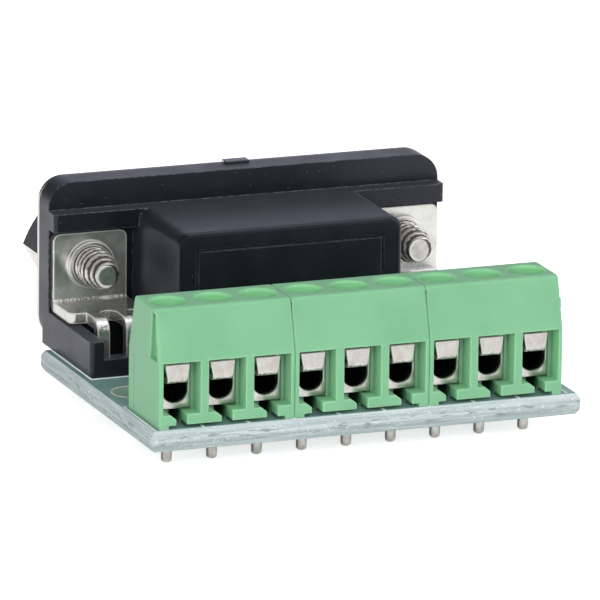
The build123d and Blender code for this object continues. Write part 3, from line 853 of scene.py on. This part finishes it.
def tracks(strip):
    """Nine tracks from the connector's tails to the terminal pins, in the order of the poles."""
    height = board_top + track_film / 2
    turn_y = -12.6 * MM
    lines = []
    for x, (tail_x, tail_y) in zip(pole_places, tails):
        end_y = turn_y - abs(x - tail_x)
        corners = [(tail_x, tail_y), (tail_x, turn_y), (x, end_y), (x, pin_y)]
        lines.append([(*corner, height) for corner in corners])
    # the middle track runs straight on, so its two turning points are one
    lines[poles // 2].pop(2)
    values = {"Width": track_width, "Thickness": track_film, "Finish": copper}
    settle(grow("tracks", strip, values, lines))


def lands(ring):
    """Bare rims round the fixing holes and the lock holes, on both faces."""
    for face, height in (("top", board_top), ("under", board_bottom)):
        rims = [
            ("fixing", hole_places, fixing_radius, 1.78 * MM),
            ("lock", lock_places, 1.7 * MM, 2.2 * MM),
        ]
        for name, places, inner, outer in rims:
            start = Vector((*places[0], height))
            step = Vector((places[1][0] - places[0][0], 0.0, 0.0))
            values = {
                "Count": 2, "Start": start, "Step": step, "Inner Radius": inner,
                "Outer Radius": outer, "Thickness": land_film, "Finish": land,
            }
            settle(grow(f"{name}_lands_{face}", ring, values))


def solder_joints(cone):
    """Solder under the board: at the nine terminal pins and at both rows of tails."""
    step = Vector((pitch, 0.0, 0.0))
    values = {
        "Count": poles, "Start": Vector((pole_places[0], pin_y, board_bottom)), "Step": step,
        "Land Radius": 0.95 * MM, "Pin Radius": 0.41 * MM, "Height": 0.75 * MM, "Finish": solder,
    }
    settle(grow("terminal_solder", cone, values))
    for name, row in (("upper", tails[0::2]), ("lower", tails[1::2])):
        start = Vector((*row[0], board_bottom))
        step = Vector((row[1][0] - row[0][0], 0.0, 0.0))
        values = {
            "Count": len(row), "Start": start, "Step": step, "Land Radius": 0.75 * MM,
            "Pin Radius": 0.31 * MM, "Height": 0.7 * MM, "Finish": solder,
        }
        settle(grow(f"{name}_tail_solder", cone, values))


def dress_board():
    """Everything that is printed, plated or soldered on the board."""
    strip = flat_strip_tree()
    printed_lines(strip)
    tracks(strip)
    lands(ring_row_tree())
    solder_joints(solder_row_tree())


# Jackscrews
def hex_radius(angle, half_flats):
    """The radius of a hexagon with corners at either side, at an angle round its axis."""
    folded = (angle % radians(60)) - radians(30)
    return half_flats / cos(folded)


def hex_body(low, high):
    """The hexagonal nose: a turned chamfer on its corners, a flat end, and a blind bore."""
    half_flats = (high.z - low.z) / 2
    length = high.y
    crown = 0.42 * MM
    bore = 1.32 * MM
    mouth = 0.28 * MM
    depth = 4.0 * MM
    rear_ring = 1.1 * MM
    end_radius = half_flats * 0.965
    chamfer_slope = 1.75
    chamfer_steps = 6
    segments = 72
    rings = [(0.0, lambda angle: rear_ring), (0.0, lambda angle: hex_radius(angle, half_flats))]
    for step in range(chamfer_steps + 1):
        y = length - crown + crown * step / chamfer_steps
        limit = end_radius + (length - y) * chamfer_slope
        rings.append((y, lambda angle, limit=limit: min(hex_radius(angle, half_flats), limit)))
    rings.append((length, lambda angle: bore + mouth))
    rings.append((length - mouth, lambda angle: bore))
    rings.append((length - depth, lambda angle: bore))
    mesh = bpy.data.meshes.new("hex_body")
    edit = bmesh.new()
    middle = (low.x + high.x) / 2
    loops = []
    for y, radius in rings:
        loop = []
        for index in range(segments):
            angle = tau * index / segments
            reach = radius(angle)
            loop.append(edit.verts.new((middle + reach * cos(angle), y, reach * sin(angle))))
        loops.append(loop)
    for first, second in zip(loops, loops[1:]):
        for index in range(segments):
            after = (index + 1) % segments
            edit.faces.new((first[index], first[after], second[after], second[index]))
    edit.faces.new(loops[-1])
    edit.faces.new(reversed(loops[0]))
    bmesh.ops.recalc_face_normals(edit, faces=edit.faces)
    edit.to_mesh(mesh)
    edit.free()
    return placed("hex_body", mesh)


def joined(name, objects, finish):
    """One object of one finish from several whose places are in their meshes."""
    edit = bmesh.new()
    for obj in objects:
        edit.from_mesh(obj.data)
    for face in edit.faces:
        face.material_index = 0
    mesh = bpy.data.meshes.new(name)
    edit.to_mesh(mesh)
    edit.free()
    mesh.materials.append(finish)
    for obj in objects:
        bpy.data.objects.remove(obj)
    return placed(name, mesh)


def lay_thread(thread, x, y):
    """Turns a thread grown up the Z axis to run towards -Y from its place on a screw's axis."""
    thread.data.transform(Matrix.Translation((x, y, 0)) @ Matrix.Rotation(pi / 2, 4, "X"))


def jackscrew(node, thread):
    """A turned hex standoff: threaded shank through the bracket, and a tapped nose."""
    low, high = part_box(node)
    middle = (low.x + high.x) / 2
    recess = 0.2 * MM
    shank = {
        "Root Radius": 1.14 * MM, "Crest Radius": 1.42 * MM, "Pitch": thread_pitch, "Length": -low.y,
        "End Radius": 0.92 * MM, "End Slope": 0.3, "Raggedness": 0.06 * MM, "Rings": 168,
        "Finish": nickel_thread,
    }
    rod = grow(node + "_rod", thread, shank)
    lay_thread(rod, middle, 0.0)
    bore = {
        "Root Radius": 1.15 * MM, "Crest Radius": 1.33 * MM, "Pitch": thread_pitch, "Length": 3.6 * MM,
        "End Radius": 1.5 * MM, "End Slope": 1.0, "Raggedness": 0.0, "Rings": 60,
        "Finish": nickel_thread,
    }
    tapping = grow(node + "_tapping", thread, bore)
    lay_thread(tapping, middle, high.y - recess)
    # without its end caps and turned inside out, it is the wall of the bore
    edit = bmesh.new()
    edit.from_mesh(tapping.data)
    ends = [face for face in edit.faces if len(face.verts) > 4]
    bmesh.ops.delete(edit, geom=ends, context="FACES_ONLY")
    bmesh.ops.reverse_faces(edit, faces=edit.faces)
    edit.to_mesh(tapping.data)
    edit.free()
    piece = joined(node + "_turned", [rod, hex_body(low, high), tapping], nickel_thread)
    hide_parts(node)
    settle(piece)


dress_board()
thread_form = screw_thread_tree()
for node in screws:
    jackscrew(node, thread_form)


# Camera, solved from the photograph
def place_camera():
    """The photograph's own view: a long lens, a little left of the terminal row and above it."""
    azimuth = radians(-21.196)
    elevation = radians(14.739)
    roll = radians(0.710)
    aim = Vector((-16.87, -57.74, 11.23)) * MM
    range_mm = 594.9
    back = Vector((sin(azimuth) * cos(elevation), -cos(azimuth) * cos(elevation), sin(elevation)))
    level = Vector((cos(azimuth), sin(azimuth), 0.0))
    upright = back.cross(level)
    right = level * cos(roll) + upright * sin(roll)
    up = upright * cos(roll) - level * sin(roll)
    data = bpy.data.cameras.new("camera")
    data.lens = 521.5
    data.sensor_width = 36.0
    data.clip_start = 0.01
    camera = placed("camera", data)
    axes = Matrix((right, up, back)).transposed().to_4x4()
    camera.matrix_world = Matrix.Translation(aim + back * range_mm * MM) @ axes
    bpy.context.scene.camera = camera


def area_light(name, place_mm, size_mm, watts, mirrored=True):
    """A square soft box that looks at the middle of the part."""
    data = bpy.data.lights.new(name, "AREA")
    data.size = size_mm * MM
    data.energy = watts
    lamp = placed(name, data)
    here = Vector(place_mm) * MM
    centre = Vector((0.0, -12.0, -2.0)) * MM
    lamp.location = here
    lamp.rotation_euler = (here - centre).to_track_quat("Z", "Y").to_euler()
    lamp.visible_glossy = mirrored


def place_floor():
    """A white sheet under the part, lifted to the photograph's white where the camera sees it."""
    mesh = bpy.data.meshes.new("floor")
    edit = bmesh.new()
    bmesh.ops.create_grid(edit, x_segments=1, y_segments=1, size=3.0)
    edit.to_mesh(mesh)
    edit.free()
    mesh.transform(Matrix.Translation((0, 0, cad_box[0][2])))
    paper, tree = new_material("white_paper")
    ray = add(tree, "ShaderNodeLightPath").outputs
    matte = add(tree, "ShaderNodeBsdfDiffuse", {"Color": linear("#F4F4F4")})
    lift = add(tree, "ShaderNodeEmission", {"Color": (1, 1, 1, 1), "Strength": 0.7})
    both = add(tree, "ShaderNodeAddShader", {0: matte.outputs[0], 1: lift.outputs[0]})
    seen = maths(tree, "MAXIMUM", ray["Is Camera Ray"], product(tree, ray["Is Glossy Ray"], 0.5))
    choice = add(tree, "ShaderNodeMixShader", {"Fac": seen, 1: matte.outputs[0], 2: both.outputs[0]})
    add(tree, "ShaderNodeOutputMaterial", {"Surface": choice.outputs[0]})
    mesh.materials.append(paper)
    floor = placed("floor", mesh)


def place_surround():
    """A white surround for the camera, a soft light from all sides, and a room for gloss to mirror."""
    world = bpy.data.worlds.new("studio")
    world.use_nodes = True
    tree = world.node_tree
    tree.nodes.clear()
    ray = add(tree, "ShaderNodeLightPath").outputs
    way = split(tree, add(tree, "ShaderNodeTexCoord").outputs["Generated"])
    # gloss mirrors white below, a pale wall, a dim room above it and to the left, and a bright ceiling
    heights = [
        (0.0, "#FFFFFF"), (0.5, "#FFFFFF"), (0.56, "#D2D2E4"),
        (0.66, "#BCBCCE"), (0.8, "#74747E"), (0.93, "#E4E4EE"),
    ]
    room = ramp(tree, levels(tree, way["Z"], -1.0, 1.0), heights)
    room = mixed(tree, levels(tree, way["X"], -0.15, 0.3, 0.1, 1.0), linear("#26262B"), room)
    ambient = add(tree, "ShaderNodeBackground", {"Color": (1, 1, 1, 1), "Strength": 0.39})
    white = add(tree, "ShaderNodeBackground", {"Color": (1, 1, 1, 1), "Strength": 1.0})
    mirrored = add(tree, "ShaderNodeBackground", {"Color": room, "Strength": 1.0})
    seen = maths(tree, "MAXIMUM", ray["Is Camera Ray"], ray["Is Transmission Ray"])
    open_air = add(tree, "ShaderNodeMixShader", {"Fac": seen, 1: ambient.outputs[0], 2: white.outputs[0]})
    choice = add(
        tree,
        "ShaderNodeMixShader",
        {"Fac": ray["Is Glossy Ray"], 1: open_air.outputs[0], 2: mirrored.outputs[0]},
    )
    add(tree, "ShaderNodeOutputWorld", {"Surface": choice.outputs[0]})
    bpy.context.scene.world = world


place_camera()
place_floor()
place_surround()
area_light("key_box", (-70, -330, 150), size_mm=170, watts=0.68, mirrored=False)
area_light("side_box", (240, -140, 160), size_mm=180, watts=0.2)
area_light("fill_box", (-300, -120, 100), size_mm=180, watts=0.36, mirrored=False)
area_light("top_box", (80, -60, 290), size_mm=120, watts=0.08)
bpy.context.scene.view_settings.view_transform = "Standard"
